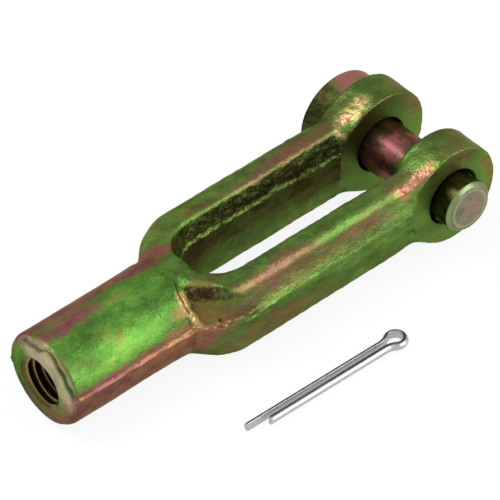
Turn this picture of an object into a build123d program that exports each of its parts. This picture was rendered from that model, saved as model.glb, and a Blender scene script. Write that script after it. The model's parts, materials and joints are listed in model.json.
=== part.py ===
from build123d import *
import math
import os

# Clevis rod end: a forged steel fork with a tapped shank, its headed clevis pin,
# and the split pin that locks it, which lies beside the fork.
# Millimetres. Origin: middle of the pin's axis, halfway between the two eyes.
# The shank runs to -X, the pin lies along Y with its head at +Y, and +Z is up.

# ---------------------------------------------------------------- driving sizes
# Eyes, at the open end of the fork: round bosses with flat faces, flush with the
# arms at the parting plane and proud of them above and below it.
eye_radius = 12.2
eye_thickness = 9.1
eye_gap = 15.1
eye_rim_round = 1.0
eye_countersink = 0.8
eye_inner_chamfer = 0.4

# Arms. Their outer sides lean in above and below the dies' parting plane.
arm_height = 18.8
arm_round = 1.5
arm_relief = 0.1
arm_draft = 9.0
parting_height = 0.35

# Slot between the arms: punched through as wide as the gap between the eyes, with
# a wider drafted pocket above and below.
slot_depth = 64.6
pocket_step = 0.9
pocket_draft = 14.0
pocket_edge_round = 0.6
punched_height = 9.2

# Shoulders, where the arms meet the shank, and the tongue that runs back from
# them inside the shank.
shoulder_behind_slot = 0.2
shoulder_round = 5.0
shoulder_run = 8.2
neck_blend_round = 1.5
tongue_inset = 4.5
tongue_length = 7.0
tongue_corner_round = 4.0

# Hollow left by the forging in the shoulder on the -Y side, above the parting line.
hollow_radius = 8.0
hollow_behind_shoulder = 2.7
hollow_inside_arm = 1.2
hollow_above_arm = 0.8

# Shank: a round bar, tapped right through into the slot.
shank_length = 104.7
shank_diameter = 22.4
shank_edge_round = 2.4
shank_taper_length = 6.7
tap_drill_diameter = 10.8
tap_countersink = 1.0

# Clevis pin.
pin_diameter = 12.7
pin_clearance = 0.09
pin_end_play = 0.3
pin_projection = 5.4
pin_point_chamfer = 0.9
pin_head_diameter = 22.5
pin_head_thickness = 5.5
pin_head_round = 0.5
split_hole_clearance = 0.05
split_hole_gap = 0.35
split_hole_angle = 33.0

# Split pin: half-round wire folded into an eye and two legs of unequal length.
wire_radius = 1.15
leg_gap = 1.2
split_eye_width = 3.5
split_neck_radius = 5.0
split_length = 44.7
split_leg_difference = 5.0
split_stand_off = 17.05
split_eye_end = 30.0
split_turn = 0.6

# Two lengths closer than this count as the same.
same = 0.01

# ------------------------------------------------------------- worked-out sizes
eye_inner_face = eye_gap / 2
eye_outer_face = eye_inner_face + eye_thickness
arm_half_height = arm_height / 2
arm_outer = eye_outer_face - arm_relief
slot_radius = eye_inner_face + arm_relief
pocket_rise = arm_half_height - punched_height / 2
pocket_radius = slot_radius + pocket_step + pocket_rise * math.tan(math.radians(pocket_draft))
slot_centre = -slot_depth + pocket_radius
shoulder_x = -slot_depth - shoulder_behind_slot
neck_x = shoulder_x - shoulder_run
shank_radius = shank_diameter / 2
tongue_side = shank_radius - tongue_inset
tongue_end = neck_x - tongue_length
pin_radius = pin_diameter / 2
pin_head_radius = pin_head_diameter / 2
eye_hole_radius = pin_radius + pin_clearance
tap_drill_radius = tap_drill_diameter / 2
split_hole_radius = wire_radius + leg_gap / 2 + split_hole_clearance

# The fork stands on its eyes and on the end of its shank, which is a little
# thinner, so the surface under it is tilted by this angle in the fork's frame.
rest_span = shank_length - shank_edge_round
rest_tilt = math.degrees(math.atan((eye_radius - shank_radius) / rest_span))

# ------------------------------------------------------------------ clevis fork
with BuildPart() as clevis_fork:
    # The outline from above: two arms, the shoulders and the tongue. It leans in
    # from the parting plane to flat faces above and below.
    corner_rounds = (shoulder_round, neck_blend_round, tongue_corner_round)
    with BuildSketch(Plane.XY.offset(parting_height)):
        with BuildLine():
            outline = FilletPolyline(
                (0, arm_outer),
                (shoulder_x, arm_outer),
                (neck_x, tongue_side),
                (tongue_end, tongue_side),
                (tongue_end, -tongue_side),
                (neck_x, -tongue_side),
                (shoulder_x, -arm_outer),
                (0, -arm_outer),
                radius=corner_rounds + corner_rounds[::-1],
            )
            Line(outline @ 0, outline @ 1)
        make_face()
    extrude(amount=arm_half_height, both=True, taper=arm_draft)
    flat_faces = clevis_fork.faces().filter_by(Axis.Z)
    fillet(flat_faces.edges().filter_by(Axis.Y, reverse=True), arm_round)

    # Slot: the punched opening, then a pocket above and below it.
    for height, half_width, depth, draft in (
        (parting_height, slot_radius, arm_height, 0),
        (parting_height + punched_height / 2, slot_radius + pocket_step, pocket_rise + 1, pocket_draft),
        (parting_height - punched_height / 2, slot_radius + pocket_step, -pocket_rise - 1, pocket_draft),
    ):
        with BuildSketch(Plane.XY.offset(height)):
            with Locations((slot_centre, 0)):
                Rectangle(-slot_centre + eye_radius, 2 * half_width, align=(Align.MIN, Align.CENTER))
                Circle(half_width)
        extrude(amount=depth, both=not draft, taper=-draft, mode=Mode.SUBTRACT)
    rims = clevis_fork.edges().filter_by(
        lambda e: abs(abs(e.center().Z - parting_height) - arm_half_height) < same
        and abs(e.center().Y) < pocket_radius + same
        and e.center().X > shoulder_x
    )
    fillet(rims, pocket_edge_round)

    # Shank: a cylinder that tapers into the back of the fork.
    with BuildSketch(Plane.XZ):
        with BuildLine():
            Polyline(
                (-shank_length, 0),
                (-shank_length, shank_radius),
                (shoulder_x - shank_taper_length, shank_radius),
                (shoulder_x, arm_half_height - parting_height),
                (shoulder_x, 0),
                close=True,
            )
        make_face()
    revolve(axis=Axis.X)
    end_rim = clevis_fork.edges().filter_by(GeomType.CIRCLE).sort_by(Axis.X)[0]
    fillet(end_rim, shank_edge_round)

    # Hollow in the shoulder: a shallow bowl above the parting line.
    hollow_x = shoulder_x - hollow_behind_shoulder
    hollow_y = -arm_outer + hollow_inside_arm
    with Locations((hollow_x, hollow_y, parting_height + arm_half_height + hollow_above_arm)):
        Sphere(hollow_radius, mode=Mode.SUBTRACT)

    # Eyes: two discs across the pin's axis, with rounded outer rims.
    for side in (1, -1):
        with BuildSketch(Plane.XY):
            with Locations((0, side * (eye_inner_face + eye_thickness / 2))):
                half_disc = Rectangle(eye_radius, eye_thickness, align=(Align.MIN, Align.CENTER))
            rim_corners = half_disc.vertices().group_by(Axis.X)[-1]
            fillet(rim_corners.sort_by(lambda v: side * v.Y)[-1], eye_rim_round)
        revolve(axis=Axis.Y)

    # The pin's hole through both eyes, countersunk outside and eased inside.
    with BuildSketch(Plane.XZ):
        Circle(eye_hole_radius)
    extrude(amount=eye_outer_face, both=True, mode=Mode.SUBTRACT)
    # Along Y, the four mouths are an outer, two inner and an outer one.
    hole_mouths = clevis_fork.edges().filter_by(GeomType.CIRCLE).filter_by(
        lambda e: abs(e.radius - eye_hole_radius) < same
    )
    outer_near, inner_near, inner_far, outer_far = hole_mouths.sort_by(Axis.Y)
    chamfer((outer_near, outer_far), eye_countersink)
    chamfer((inner_near, inner_far), eye_inner_chamfer)

    # The tapped hole, right through the shank into the slot.
    with BuildSketch(Plane.YZ.offset(-shank_length)):
        Circle(tap_drill_radius)
    extrude(amount=shank_length + slot_centre, mode=Mode.SUBTRACT)
    tapped_mouth = clevis_fork.edges().filter_by(GeomType.CIRCLE).filter_by(
        lambda e: abs(e.radius - tap_drill_radius) < same
    )
    chamfer(tapped_mouth.sort_by(Axis.X)[0], tap_countersink)

# ------------------------------------------------------------------- clevis pin
head_underside = eye_outer_face + pin_end_play
pin_end = -eye_outer_face - pin_projection
split_hole_y = -eye_outer_face - split_hole_gap - split_hole_radius
with BuildPart() as clevis_pin:
    with BuildSketch(Plane.XZ.offset(-pin_end)):
        Circle(pin_radius)
    extrude(amount=pin_end - head_underside)
    point = clevis_pin.edges().filter_by(GeomType.CIRCLE).sort_by(Axis.Y)[0]
    chamfer(point, pin_point_chamfer)
    with BuildSketch(Plane.XZ.offset(-head_underside)):
        Circle(pin_head_radius)
    extrude(amount=-pin_head_thickness)
    head_rims = clevis_pin.edges().filter_by(GeomType.CIRCLE).filter_by(
        lambda e: abs(e.radius - pin_head_radius) < same
    )
    fillet(head_rims, pin_head_round)
    # Cross hole for the split pin, just outside the eye.
    split_hole_direction = Vector(1, 0, 0).rotate(Axis.Y, -split_hole_angle)
    with BuildSketch(Plane(origin=(0, split_hole_y, 0), z_dir=split_hole_direction)):
        Circle(split_hole_radius)
    extrude(amount=pin_diameter, both=True, mode=Mode.SUBTRACT)

# -------------------------------------------------------------------- split pin
# It lies beside the fork on the surface that both rest on: +x of its plane runs
# from the eye to the legs, and its long leg is on the fork's side.
surface_normal = Vector(0, 0, 1).rotate(Axis.Y, rest_tilt)
along = Vector(-1, 0, 0).rotate(Axis.Z, -split_turn).rotate(Axis.Y, rest_tilt)
surface_z = (-eye_radius + surface_normal.X * split_eye_end) / surface_normal.Z
split_side = eye_outer_face + split_stand_off
split_plane = Plane(
    origin=Vector(-split_eye_end, -split_side, surface_z) + surface_normal * wire_radius,
    x_dir=along,
    z_dir=surface_normal,
)

# The inner face of the wire: leg, neck, eye, neck, leg, in that plane.
eye_bend_radius = split_eye_width / 2
eye_bend_x = eye_bend_radius + wire_radius
half_gap = leg_gap / 2
centre_distance = eye_bend_radius + split_neck_radius
neck_centre_y = half_gap + split_neck_radius
neck_centre_x = eye_bend_x + math.sqrt(centre_distance**2 - neck_centre_y**2)
meet_angle = math.degrees(math.asin(neck_centre_y / centre_distance))
neck_turn = 90 - meet_angle
short_leg_end = split_length - split_leg_difference

with BuildPart() as split_pin:
    with BuildLine(split_plane) as wire_path:
        Line((short_leg_end, half_gap), (neck_centre_x, half_gap))
        CenterArc((neck_centre_x, neck_centre_y), split_neck_radius, -90, -neck_turn)
        CenterArc((eye_bend_x, 0), eye_bend_radius, meet_angle, 360 - 2 * meet_angle)
        CenterArc((neck_centre_x, -neck_centre_y), split_neck_radius, 90 + neck_turn, -neck_turn)
        Line((neck_centre_x, -half_gap), (split_length, -half_gap))
    short_tip = split_plane.from_local_coords((short_leg_end, half_gap, 0))
    with BuildSketch(Plane(origin=short_tip, x_dir=split_plane.y_dir, z_dir=-split_plane.x_dir)):
        Circle(wire_radius)
        Rectangle(2 * wire_radius, 2 * wire_radius, align=(Align.MAX, Align.CENTER), mode=Mode.SUBTRACT)
    sweep(path=wire_path.line)

# --------------------------------------------------------------------- exports
os.makedirs("parts", exist_ok=True)
clevis_fork.part.label = "clevis_fork"
export_step(clevis_fork.part, "parts/clevis_fork.step")
clevis_pin.part.label = "clevis_pin"
export_step(clevis_pin.part, "parts/clevis_pin.step")
split_pin.part.label = "split_pin"
export_step(split_pin.part, "parts/split_pin.step")
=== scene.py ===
"""Clevis rod end: a forged, zinc-plated fork with its headed pin and a split pin beside it."""

import json
import math

import bpy
import numpy as np
from bpy.props import FloatProperty, FloatVectorProperty, PointerProperty
from mathutils import Matrix, Vector


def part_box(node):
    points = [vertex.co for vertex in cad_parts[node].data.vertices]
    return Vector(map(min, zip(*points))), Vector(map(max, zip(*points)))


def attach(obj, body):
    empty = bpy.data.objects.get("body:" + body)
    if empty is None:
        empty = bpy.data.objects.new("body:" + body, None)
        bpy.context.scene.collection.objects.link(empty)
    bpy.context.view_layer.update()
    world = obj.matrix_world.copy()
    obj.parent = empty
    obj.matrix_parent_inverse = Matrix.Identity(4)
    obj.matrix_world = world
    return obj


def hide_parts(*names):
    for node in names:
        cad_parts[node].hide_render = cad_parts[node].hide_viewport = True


bl_info = {
    "name": "Clevis rod end",
    "version": (1, 0, 0),
    "blender": (4, 5, 0),
    "location": "View3D > Sidebar > Clevis",
    "description": "Makes a forged clevis rod end with its pin and split pin",
    "category": "Add Mesh",
}

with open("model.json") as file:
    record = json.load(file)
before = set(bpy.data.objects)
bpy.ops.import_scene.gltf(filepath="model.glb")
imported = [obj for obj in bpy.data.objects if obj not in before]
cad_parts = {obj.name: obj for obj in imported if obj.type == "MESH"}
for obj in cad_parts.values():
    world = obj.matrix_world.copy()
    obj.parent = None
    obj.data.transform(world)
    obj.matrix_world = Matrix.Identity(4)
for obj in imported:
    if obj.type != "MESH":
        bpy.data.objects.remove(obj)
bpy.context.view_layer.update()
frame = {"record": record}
MM = 0.001

# What the frame gives: the pieces' boxes and the mounts' sizes, in metres.
FORK_LOW, FORK_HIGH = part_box("clevis_fork")
PIN_LOW, PIN_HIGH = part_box("clevis_pin")
MOUNTS = {mount["name"]: mount for mount in frame["record"]["mounts"]}
PIN_RADIUS = MOUNTS["rod_eye"]["dims"]["r_mm"] * MM
EYE_INNER_FACE = MOUNTS["rod_eye"]["dims"]["length_mm"] * MM / 2
TAP_RADIUS = MOUNTS["rod_thread"]["dims"]["r_mm"] * MM
SPLIT_HOLE_RADIUS = MOUNTS["split_pin_hole"]["dims"]["r_mm"] * MM
SPLIT_HOLE_AT = MOUNTS["split_pin_hole"]["pos_m"]
SPLIT_HOLE_AXIS = MOUNTS["split_pin_hole"]["axis"]
EYE_RADIUS = FORK_HIGH.z
SHANK_END = FORK_LOW.x


# ------------------------------------------------------------ sizes and colours
def length(name, description, millimetres):
    """A length that the user can change, given in millimetres and kept in metres."""
    return FloatProperty(
        name=name, description=description, default=millimetres * MM, unit="LENGTH", precision=5
    )


def angle(name, description, degrees):
    """An angle that the user can change, given in degrees and kept in radians."""
    return FloatProperty(
        name=name, description=description, default=math.radians(degrees), subtype="ANGLE"
    )


def colour(name, description, red, green, blue):
    """A colour that the user can change."""
    tint = (red, green, blue)
    return FloatVectorProperty(
        name=name, description=description, default=tint, subtype="COLOR", min=0, max=1
    )


class ForkSizes(bpy.types.PropertyGroup):
    """Sizes of the forging and of the machining on it."""

    eye_outer_face: length("Eye outer face", "From the middle plane to an eye's outer face", 16.65)
    eye_allowance: length("Eye allowance", "What is machined off each forged eye's faces", 0.15)
    eye_rim_round: length("Eye rim", "Rounding along the rims of the forged eyes", 0.7)
    eye_blend: length("Eye blend", "Fillet where an arm's top and bottom run into its eye", 2.6)
    far_eye_swell: length("Far eye swell", "How far the far eye bulges away from the shank", 1.1)
    near_eye_swell: length("Near eye swell", "The same, for the near eye", 0.35)
    arm_half_height: length("Arm half height", "From the parting plane to an arm's top", 9.4)
    arm_round: length("Arm edge", "Rounding along the arms' outer edges", 2.4)
    arm_outer: length("Arm side", "From the middle plane to an arm's side", 16.6)
    slot_radius: length("Slot radius", "Half of the slot's width, and its root's radius", 7.6)
    slot_depth: length("Slot depth", "From the pin's axis to the bottom of the slot", 62.46)
    slot_step: length("Slot step", "How far the slot's wall is set back above its torn edge", 0.4)
    slot_step_height: length("Torn edge height", "From the parting plane to the torn edge", 4.3)
    slot_edge: length("Slot edge", "Rounding along the slot's top and bottom edges", 0.9)
    slot_burr: length("Slot burr", "How far the torn edge stands proud inside the slot", 0.35)
    shoulder_from_pin: length("Shoulder", "From the pin's axis to the shoulders' corners", 64.8)
    shoulder_run: length("Shoulder run", "Length over which a shoulder draws in", 7.4)
    shoulder_drop: length("Shoulder drop", "How far a shoulder draws in over that length", 8.4)
    shoulder_round: length("Shoulder rounding", "Radius of the near shoulder's corner", 5.0)
    far_shoulder_lead: length("Far shoulder lead", "How much nearer the pin it begins", 1.3)
    neck_blend: length("Neck blend", "Fillet between the shoulders and the shank", 1.0)
    neck_radius: length("Neck radius", "Radius of the shank inside the shoulders", 9.2)
    shank_radius: length("Shank radius", "Radius of the round shank", 11.2)
    shank_edge_round: length("Shank edge", "Rounding round the shank's end", 2.4)
    shank_taper: length("Shank taper", "Length over which the shank narrows to its neck", 6.7)
    hollow_from_pin: length("Hollow", "From the pin's axis to the hollow's steep end", 71.3)
    hollow_edge: length("Hollow edge", "Rounding round the hollow", 0.3)
    draft: angle("Draft", "Lean of the forged sides", 8)
    slot_draft: angle("Slot draft", "Lean of the slot's walls above the torn edge", 18.5)
    slot_draft_below: angle("Slot draft below", "Lean of the slot's walls low down", 7)
    die_shift: length("Die shift", "How far the upper die stood over, at the arms", 0.6)
    die_shift_shank: length("Die shift at the shank", "The same, at the shank", 0.12)
    parting_height: length("Parting height", "The parting plane's height in the middle", 0.35)
    parting_lean: FloatProperty(
        name="Parting lean", description="Fall of the parting plane across the fork", default=0.07
    )
    flash_proud: length("Flash", "How far the trimmed flash stands proud", 0.3)
    flash_half_width: length("Flash width", "Half the width of the trimmed flash", 0.45)
    end_groove: length("End groove", "Depth of the lap round the shank's end", 0.4)
    spot_face_radius: length("Spot face", "Radius to which the eyes' faces are machined", 13.4)
    hole_radius: length("Hole radius", "Radius of the pin's holes", 6.85)
    countersink: length("Countersink", "Depth of the chamfer on the eyes' outer faces", 0.35)
    inner_chamfer: length("Inner chamfer", "Depth of the chamfer on the inner faces", 0.25)
    thread_pitch: length("Thread pitch", "Distance from one crest to the next", 1.954)
    thread_depth: length("Thread depth", "From the crests to the roots of the thread", 1.0)
    thread_chamfer: length("Thread chamfer", "Depth of the chamfer at the tapped mouth", 1.0)
    mesh_step: length("Mesh step", "Spacing of the grid that the forging is meshed on", 0.44)


class PinSizes(bpy.types.PropertyGroup):
    """Sizes of the headed clevis pin."""

    head_thickness: length("Head thickness", "Thickness of the head", 5.5)
    head_round: length("Head rounding", "Rounding along the head's two rims", 0.5)
    point_bevel: length("Point bevel", "Bevel round the point", 0.9)
    point_round: length("Point rounding", "Rounding of the bevel's two edges", 0.25)
    neck_round: length("Neck fillet", "Fillet under the head", 0.25)
    hole_chamfer: length("Hole chamfer", "Chamfer at the mouths of the cross hole", 0.3)


class SplitPinSizes(bpy.types.PropertyGroup):
    """Sizes of the split pin, a folded length of half-round wire, and where it lies."""

    wire_radius: length("Wire radius", "Radius of the half-round wire", 1.15)
    wire_corner: length("Wire corner", "Rounding of the wire's two corners", 0.16)
    leg_gap: length("Leg gap", "Gap between the two legs", 1.2)
    eye_width: length("Eye width", "Width of the opening in the eye", 3.5)
    neck_radius: length("Neck radius", "Radius where the legs bend out into the eye", 5.0)
    length: length("Length", "From the eye's outer end to the long leg's tip", 44.7)
    leg_difference: length("Leg difference", "How much shorter the short leg is", 5.0)
    tip_bevel: length("Tip bevel", "Bevel round the legs' tips", 0.12)
    aside: length("Aside", "From the fork's middle plane to the split pin's", 33.7)
    eye_from_pin: length("Eye from pin", "From the pin's axis to the eye's outer end", 30.0)
    turn: angle("Turn", "Turn on the surface that it lies on", 0.6)


class PlatingColours(bpy.types.PropertyGroup):
    """Colours of the iridescent passivate and of the plain zinc, and of painted highlights and
    shade.
    """

    green: colour("Green", "The commonest tint of the passivate", 0.062, 0.205, 0.030)
    lime: colour("Lime", "Where the film is a little thicker", 0.135, 0.310, 0.045)
    gold: colour("Gold", "Between lime and copper", 0.270, 0.190, 0.050)
    copper: colour("Copper", "Where the film is thick", 0.330, 0.140, 0.075)
    rose: colour("Rose", "Where the film is thicker still", 0.210, 0.062, 0.075)
    olive: colour("Olive", "Where the film is thinnest or thickest", 0.085, 0.080, 0.022)
    # This colour is stains, and also painted shade in corners, creases, the slot and under the
    # fork.
    stain_and_shade: colour("Umber", "Oil and scale left in corners", 0.03, 0.02, 0.006)
    brass: colour("Brass", "Dulls the film, most of all on the arms", 0.17, 0.14, 0.055)
    # This colour is a painted highlight on the upper part of the shank's end.
    straw_highlight: colour("Straw", "Thin film on the upper part of the shank's end", 0.62, 0.50, 0.34)
    bronze: colour("Bronze", "Floor of the hollow", 0.21, 0.145, 0.040)
    # This colour is a painted highlight on the hollow's steep end.
    gold_highlight: colour("Bright gold", "Steep end of the hollow", 0.50, 0.34, 0.14)
    # This colour paints glints on the slot's torn edge.
    brass_glint: colour("Bright brass", "Torn edge in the slot", 0.5, 0.40, 0.12)
    # This colour is a painted highlight on the creased fillets beside the eyes.
    copper_highlight: colour("Bright copper", "Creases beside the eyes", 0.72, 0.36, 0.22)
    # This colour is painted shade between the thread's crests.
    thread_shade: colour("Oil", "Between the crests of the thread", 0.050, 0.032, 0.018)
    blush: colour("Blush", "Upper part of the pin's head", 0.40, 0.16, 0.14)
    point_green: colour("Point green", "Film on the pin's point", 0.15, 0.21, 0.10)
    point_rose: colour("Point rose", "Thicker film on the pin's point", 0.30, 0.20, 0.16)
    point_dark: colour("Point dark", "Blots on the pin's point", 0.10, 0.10, 0.06)
    # This colour is a painted highlight ring on the point's flat end.
    point_ring_highlight: colour("Point ring", "Turned ring on the pin's point", 0.34, 0.36, 0.24)
    # This colour is a painted highlight on the point's bevel.
    point_bevel: colour("Point bevel", "Bevel round the pin's point", 0.24, 0.34, 0.16)
    silver: colour("Silver", "Clear zinc on the split pin", 0.50, 0.50, 0.52)
    # This colour is dark streaks, and also painted shade where the wire faces up.
    streak_and_shade: colour("Lead", "Dark streaks in the clear zinc", 0.050, 0.050, 0.055)


class StageSettings(bpy.types.PropertyGroup):
    """The camera."""

    azimuth: angle("Azimuth", "Camera's turn about the object", -38.252)
    elevation: angle("Elevation", "Camera's height", 42.579)
    roll: angle("Roll", "Camera's turn about its own axis", -3.380)
    distance: length("Distance", "From the camera to its target", 1000)
    target: FloatVectorProperty(
        name="Target",
        description="Where the camera looks",
        default=(-0.04795, -0.00333, 0.00513),
        unit="LENGTH",
    )
    lens: FloatProperty(
        name="Lens", description="Focal length in millimetres", default=329.04
    )


# ------------------------------------------------------------------ mesh helpers
def new_piece(name, points, faces):
    """Makes a mesh object from points and faces."""
    mesh = bpy.data.meshes.new(name)
    mesh.from_pydata(points.tolist(), [], faces)
    mesh.update()
    piece = bpy.data.objects.new(name, mesh)
    bpy.context.scene.collection.objects.link(piece)
    return piece


def stand_in(piece, body, node):
    """Says that a piece rides on a body and stands for a CAD node, whose own mesh is hidden."""
    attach(piece, body)
    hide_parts(node)


def round_max(a, b, radius):
    """Where two shapes overlap, with the edge between them rounded: outside both, the distance to
    the corner of the two surfaces moved in by the radius, less the radius."""
    corner = np.hypot(np.maximum(a + radius, 0), np.maximum(b + radius, 0))
    return np.minimum(np.maximum(a, b), -radius) + corner


def round_min(a, b, radius):
    """Two shapes joined, with a fillet in the corner between them."""
    return -round_max(-a, -b, radius)


def ease(value, start, end):
    """0 before start, 1 after end, and a smooth step t * t * (3 - 2 t) between."""
    t = np.clip((value - start) / (end - start), 0, 1)
    return t * t * (3 - 2 * t)


def rumple(points, wavelength, seed, waves=24):
    """A smooth random height, about -2 to 2: plane waves of about one wavelength in random
    directions, added up."""
    draws = np.random.default_rng(seed)
    ways = draws.normal(size=(waves, 3))
    ways /= np.linalg.norm(ways, axis=1, keepdims=True)
    ways *= 2 * math.pi / (wavelength * draws.uniform(0.7, 1.5, size=(waves, 1)))
    phases = draws.uniform(0, 2 * math.pi, size=waves)
    return np.cos(points @ ways.T + phases).sum(axis=-1) * math.sqrt(2 / waves)


def net(field, low, high, step):
    """Wraps the zero level of a field in quads. Each grid cell that the surface crosses gets one
    point, the mean of the crossings on the cell's edges, and each crossed grid edge one quad,
    between the four cells round it."""
    counts = [int(math.ceil((h - l) / step)) + 1 for l, h in zip(low, high)]
    grid = np.stack(
        np.meshgrid(*[l + step * np.arange(n) for l, n in zip(low, counts)], indexing="ij"), axis=-1
    )
    value = field(grid)
    cells = tuple(n - 1 for n in counts)
    total = np.zeros(cells + (3,))
    hits = np.zeros(cells)
    edges = []
    for axis in range(3):
        others = [(axis + 1) % 3, (axis + 2) % 3]
        first = [slice(None)] * 3
        first[axis] = slice(0, -1)
        second = [slice(None)] * 3
        second[axis] = slice(1, None)
        v0, v1 = value[tuple(first)], value[tuple(second)]
        crossed = (v0 < 0) != (v1 < 0)
        share = np.where(crossed, v0 / np.where(crossed, v0 - v1, 1), 0)
        where = grid[tuple(first)].copy()
        where[..., axis] += share * step
        where *= crossed[..., None]
        for down in range(2):
            for aside in range(2):
                part = [slice(None)] * 3
                part[others[0]] = slice(down, down + cells[others[0]])
                part[others[1]] = slice(aside, aside + cells[others[1]])
                total += where[tuple(part)]
                hits += crossed[tuple(part)]
        edges.append((axis, others, crossed, v0 < 0))
    active = hits > 0
    number = np.full(cells, -1)
    number[active] = np.arange(active.sum())
    quads = []
    for axis, others, crossed, outward in edges:
        at = np.argwhere(crossed)
        ring = []
        for down, aside in ((1, 1), (0, 1), (0, 0), (1, 0)):
            cell = at.copy()
            cell[:, others[0]] -= down
            cell[:, others[1]] -= aside
            ring.append(number[tuple(cell.T)])
        ring = np.stack(ring, axis=1)
        flip = ~outward[tuple(at.T)]
        ring[flip] = ring[flip][:, ::-1]
        quads.append(ring)
    return total[active] / hits[active][:, None], np.concatenate(quads)


def slope(field, points, reach):
    """The field's gradient, by central differences over a small reach."""
    steps = np.eye(3) * reach
    return np.stack([field(points + d) - field(points - d) for d in steps], axis=-1) / (2 * reach)


def settle(points, field, rounds, reach=0.02 * MM):
    """Newton steps down the gradient, which bring the points onto the field's zero level."""
    for _ in range(rounds):
        grade = slope(field, points, reach)
        steepness = (grade * grade).sum(axis=1, keepdims=True)
        points = points - field(points)[:, None] * grade / steepness
    return points


def relax(points, quads, share):
    """Moves each point part of the way to the mean of its neighbours along the quads' sides."""
    start = quads.ravel()
    end = np.roll(quads, -1, axis=1).ravel()
    here, there = np.concatenate([start, end]), np.concatenate([end, start])
    count = np.bincount(here, minlength=len(points))
    mean = np.stack(
        [np.bincount(here, points[there, k], len(points)) / count for k in range(3)], axis=1
    )
    return points + share * (mean - points)


def lathe(outline, at, axis, segments=128):
    """Turns an open outline of (distance along the axis, radius) about an axis through a point. The
    outline's two ends lie on the axis, and each becomes one point."""
    along = Vector(axis).normalized()
    aside = along.orthogonal().normalized()
    frame_of = np.array([aside, along.cross(aside), along])
    outline = np.array(outline)
    turn = np.arange(segments) * 2 * math.pi / segments
    ring = outline[1:-1]
    rows = np.stack(
        [
            ring[:, 1:2] * np.cos(turn),
            ring[:, 1:2] * np.sin(turn),
            np.repeat(ring[:, :1], segments, axis=1),
        ],
        axis=-1,
    ).reshape(-1, 3)
    ends = np.array([[0, 0, outline[0, 0]], [0, 0, outline[-1, 0]]])
    points = np.concatenate([rows, ends]) @ frame_of + np.array(at)
    return points, closed_tube(len(ring), segments)


def closed_tube(rows, segments):
    """Faces of a tube of rings, closed at both ends by a fan to one point. The two end points
    come after the rings. Faces look outward where the rings turn anticlockwise about the way they
    run."""
    index = np.arange(rows * segments).reshape(rows, segments)
    after = np.roll(index, -1, axis=1)
    sides = np.stack([index[:-1], after[:-1], after[1:], index[1:]], axis=-1).reshape(-1, 4)
    first, last = rows * segments, rows * segments + 1
    start = np.stack([after[0], index[0], np.full(segments, first)], axis=-1)
    end = np.stack([index[-1], after[-1], np.full(segments, last)], axis=-1)
    return sides.tolist() + start.tolist() + end.tolist()


def arc(centre, radius, start, end, steps=8):
    """Points along an arc, as (distance along, radius) pairs, from one angle to another in
    degrees."""
    turn = np.radians(np.linspace(start, end, steps + 1))
    return list(zip(centre[0] + radius * np.cos(turn), centre[1] + radius * np.sin(turn)))


# One pitch of the thread, as (share of the pitch, share of the depth).
THREAD_FORM = np.array([[0.0, 1], [0.12, 1], [0.31, 0.5], [0.5, 0], [0.62, 0], [0.81, 0.5]])


def threaded_rod(low, high, radius, depth, pitch, segments=96):
    """A rod along X with a right-hand thread. Every row of points follows the helix, one pitch
    along X for each turn, and the rows of one pitch run root, crest and back. Round the seam, a
    row joins the row one pitch further on. A fan to one point closes each end."""
    per_turn = len(THREAD_FORM)
    rows = int(round((high - low) / pitch)) * per_turn
    row = np.arange(rows + 1)
    turn = np.arange(segments) * 2 * math.pi / segments
    form = THREAD_FORM[row % per_turn]
    along = low + (row // per_turn + form[:, 0])[:, None] * pitch + turn * pitch / (2 * math.pi)
    reach = np.repeat((radius + depth * form[:, 1])[:, None], segments, axis=1)
    sides = np.stack([along, reach * np.cos(turn), reach * np.sin(turn)], axis=-1).reshape(-1, 3)
    points = np.concatenate([sides, [[low - pitch, 0, 0], [high + 2 * pitch, 0, 0]]])
    index = np.arange((rows + 1) * segments).reshape(rows + 1, segments)
    walls = np.stack([index[:-1, :-1], index[:-1, 1:], index[1:, 1:], index[1:, :-1]], axis=-1)
    last, onward = index[: rows + 1 - per_turn, -1], index[per_turn:, 0]
    seam = np.stack([last[:-1], onward[:-1], onward[1:], last[1:]], axis=-1)
    low_rim = np.concatenate([index[0], index[per_turn:0:-1, 0]])
    high_rim = np.concatenate([index[-1], index[-2 : -2 - per_turn : -1, -1]])
    low_point = np.full(len(low_rim), len(sides))
    high_point = np.full(len(high_rim), len(sides) + 1)
    low_cap = np.stack([np.roll(low_rim, -1), low_rim, low_point], axis=-1)
    high_cap = np.stack([high_rim, np.roll(high_rim, -1), high_point], axis=-1)
    quads = np.concatenate([walls.reshape(-1, 4), seam])
    return points, quads.tolist() + low_cap.tolist() + high_cap.tolist()


def apply_modifiers(piece):
    """Puts what the piece's modifiers make of its mesh in the mesh's place."""
    view = bpy.context.evaluated_depsgraph_get()
    whole = bpy.data.meshes.new_from_object(piece.evaluated_get(view))
    piece.modifiers.clear()
    rough, piece.data = piece.data, whole
    whole.name = rough.name
    bpy.data.meshes.remove(rough)


def cut(piece, cutters):
    """Takes the cutters out of a piece, whose new faces get the cutters' finishes."""
    blanks = []
    for points, faces, finish in cutters:
        cutter = new_piece("cutter", points, faces)
        cutter.data.materials.append(finish)
        modifier = piece.modifiers.new("cut", "BOOLEAN")
        modifier.operation, modifier.solver = "DIFFERENCE", "MANIFOLD"
        modifier.material_mode, modifier.object = "TRANSFER", cutter
        blanks.append(cutter)
    apply_modifiers(piece)
    for cutter in blanks:
        bpy.data.meshes.remove(cutter.data)


def smooth(piece, degrees=35):
    """Smooth shading, with every edge sharper than the angle kept crisp. Larger faces weigh more
    in a point's normal, so the fans that close a flat face don't bend its shading."""
    piece.data.shade_smooth()
    piece.data.set_sharp_from_angle(angle=math.radians(degrees))
    modifier = piece.modifiers.new("normals", "WEIGHTED_NORMAL")
    modifier.mode, modifier.weight, modifier.keep_sharp = "FACE_AREA", 100, True
    apply_modifiers(piece)


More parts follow.
